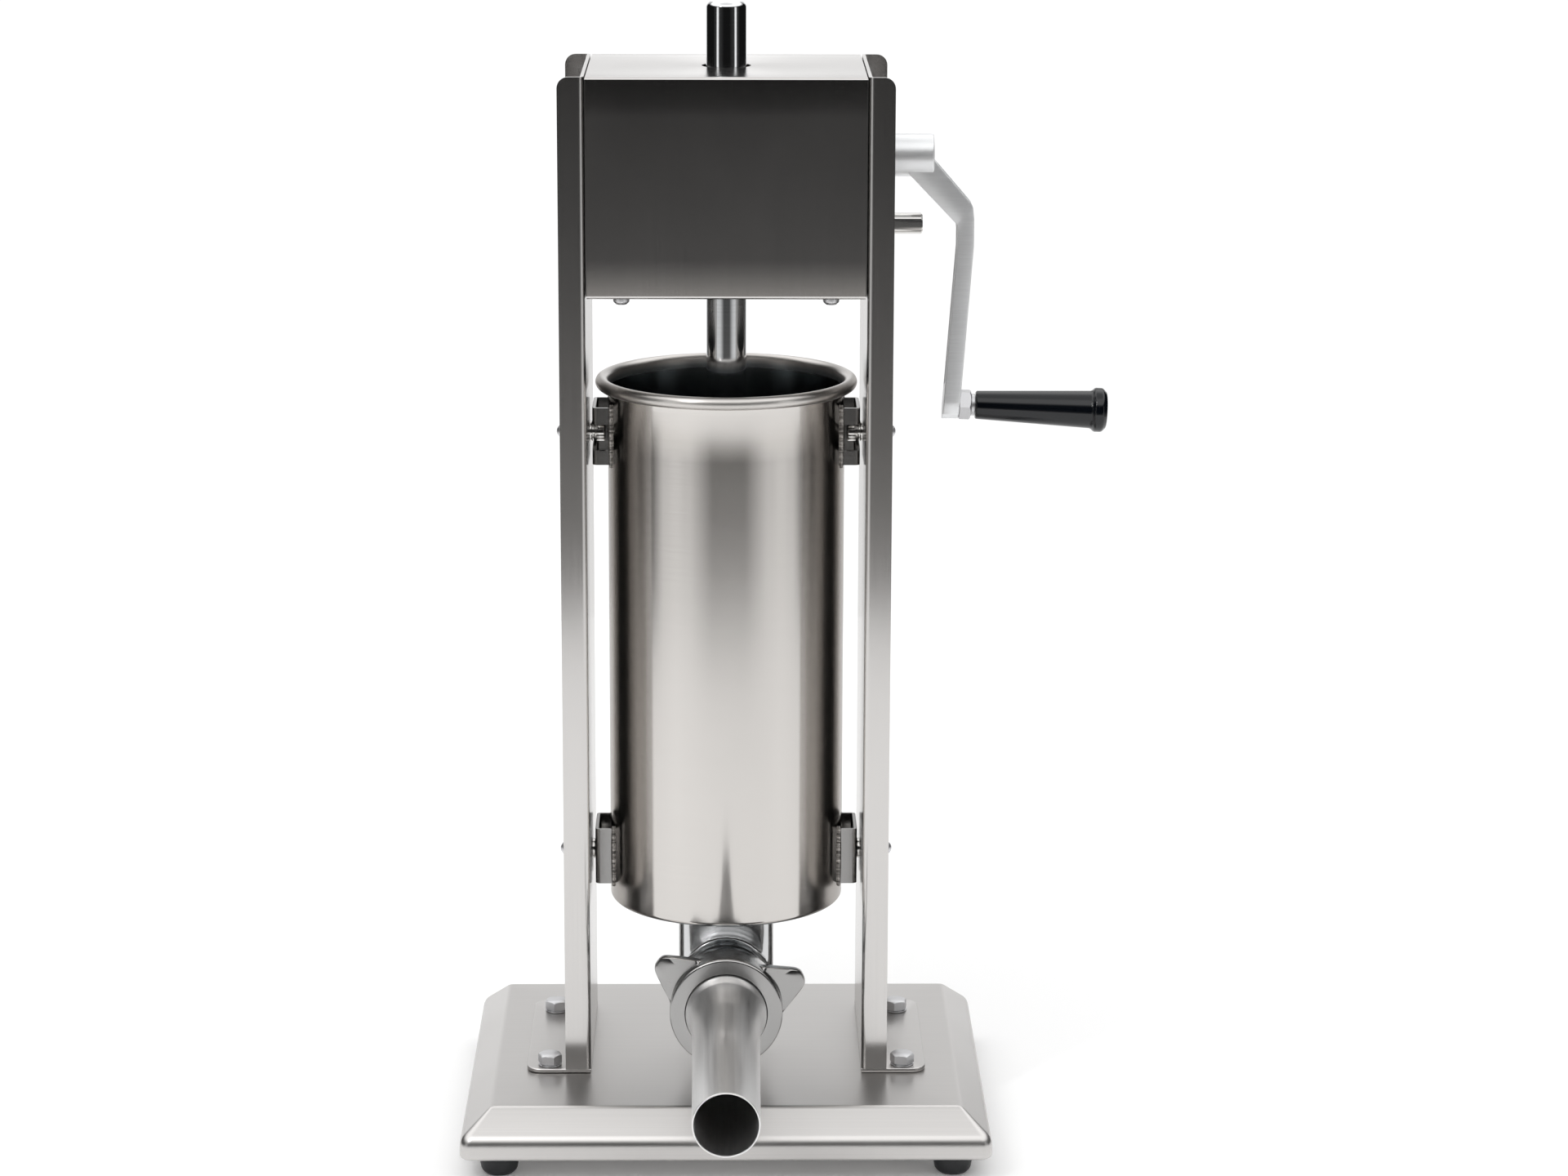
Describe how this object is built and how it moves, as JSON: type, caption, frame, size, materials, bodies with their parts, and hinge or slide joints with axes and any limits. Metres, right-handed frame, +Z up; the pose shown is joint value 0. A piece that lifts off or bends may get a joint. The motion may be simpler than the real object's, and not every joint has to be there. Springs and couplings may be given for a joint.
{
  "type": "sausage stuffer",
  "caption": "Upright hand-cranked sausage stuffer: gear case on channel columns, a toothed ram and piston in a steel barrel, stuffing tube clamped by a winged nut.",
  "frame": {"origin": "middle of the footprint at table height, taken over the base, the crank grip and the stuffing tube", "axes": "+Z up, +X towards the crank, the stuffing tube points along -Y"},
  "size_m": [0.3877, 0.4116, 0.6825],
  "materials": {
    "black_plastic": "gloss black",
    "black_rubber": "matt black",
    "bronze": "machined",
    "brushed_steel": "satin, brushed along its length",
    "cast_alloy": "satin casting",
    "chrome": "mirror bright",
    "food_seal": "pale food-grade rubber",
    "gear_steel": "machined steel, oiled",
    "polished_steel": "polished",
    "zinc_plate": "bright zinc"
  },
  "bodies": {
    "frame_body": {"barrel": "polished_steel", "base_pan": "brushed_steel", "case_bolt_bottom_left": "zinc_plate", "case_bolt_bottom_right": "zinc_plate", "case_bolt_top_left": "zinc_plate", "case_bolt_top_right": "zinc_plate", "case_cover": "brushed_steel", "column_bolt_front_left": "zinc_plate", "column_bolt_front_right": "zinc_plate", "column_bolt_rear_left": "zinc_plate", "column_bolt_rear_right": "zinc_plate", "column_left": "brushed_steel", "column_right": "brushed_steel", "cover_screw_left": "zinc_plate", "cover_screw_right": "zinc_plate", "foot_front_left": "black_rubber", "foot_front_right": "black_rubber", "foot_rear_left": "black_rubber", "foot_rear_right": "black_rubber", "gear_case": "brushed_steel", "lower_bracket_left": "brushed_steel", "lower_bracket_right": "brushed_steel", "lower_bush_left": "bronze", "lower_bush_right": "bronze", "lower_left_cap_nut": "zinc_plate", "lower_left_pin": "polished_steel", "lower_right_cap_nut": "zinc_plate", "lower_right_pin": "polished_steel", "outlet": "cast_alloy", "rod_guide_lower": "bronze", "rod_guide_upper": "bronze", "stuffing_tube": "polished_steel", "tube_gasket": "food_seal", "upper_bracket_left": "brushed_steel", "upper_bracket_right": "brushed_steel", "upper_bush_left": "bronze", "upper_bush_right": "bronze", "upper_left_cap_nut": "zinc_plate", "upper_left_pin": "polished_steel", "upper_right_cap_nut": "zinc_plate", "upper_right_pin": "polished_steel"},
    "ram": {"rack_rod": "chrome", "piston": "polished_steel", "piston_seal": "food_seal", "piston_nut": "zinc_plate"},
    "rack_shaft_body": {"rack_shaft": "zinc_plate", "rack_pinion": "gear_steel", "large_gear": "gear_steel", "crank_arm": "cast_alloy", "crank_set_screw": "gear_steel", "grip_bolt": "zinc_plate", "grip_nut": "zinc_plate"},
    "reduction_shaft_body": {"reduction_shaft": "zinc_plate", "small_pinion": "gear_steel"},
    "grip_body": {"handle_grip": "black_plastic"},
    "ring_nut_body": {"ring_nut": "cast_alloy"},
    "air_valve_body": {"air_valve": "food_seal"}
  },
  "joints": [
    {"name": "rod_slide", "type": "slide", "parent": "frame_body", "child": "ram", "axis": [0, 0, 1], "range_m": [-0.003, 0.315]},
    {"name": "crank_spin", "type": "hinge", "parent": "frame_body", "child": "rack_shaft_body", "pos_m": [-0.03616, 0.10475, 0.5897], "axis": [1, 0, 0], "range_deg": [-1510, 20]},
    {"name": "reduction_spin", "type": "hinge", "parent": "frame_body", "child": "reduction_shaft_body", "pos_m": [-0.03616, 0.10475, 0.5487], "axis": [1, 0, 0], "range_deg": [-40, 3640]},
    {"name": "grip_spin", "type": "hinge", "parent": "rack_shaft_body", "child": "grip_body", "pos_m": [0.10464, 0.10475, 0.4387], "axis": [0.9992, 0, -0.041], "continuous": true},
    {"name": "nut_turn", "type": "hinge", "parent": "frame_body", "child": "ring_nut_body", "pos_m": [-0.03616, -0.02175, 0.0947], "axis": [0, -1, 0], "range_deg": [0, 720]},
    {"name": "air_valve_lift", "type": "slide", "parent": "ram", "child": "air_valve_body", "axis": [0, 0, 1], "range_m": [0, 0.003]}
  ],
  "couplings": [
    {"joint": "crank_spin", "follows": "rod_slide", "rad_per_m": -83.333},
    {"joint": "reduction_spin", "follows": "rod_slide", "rad_per_m": 201.39}
  ]
}
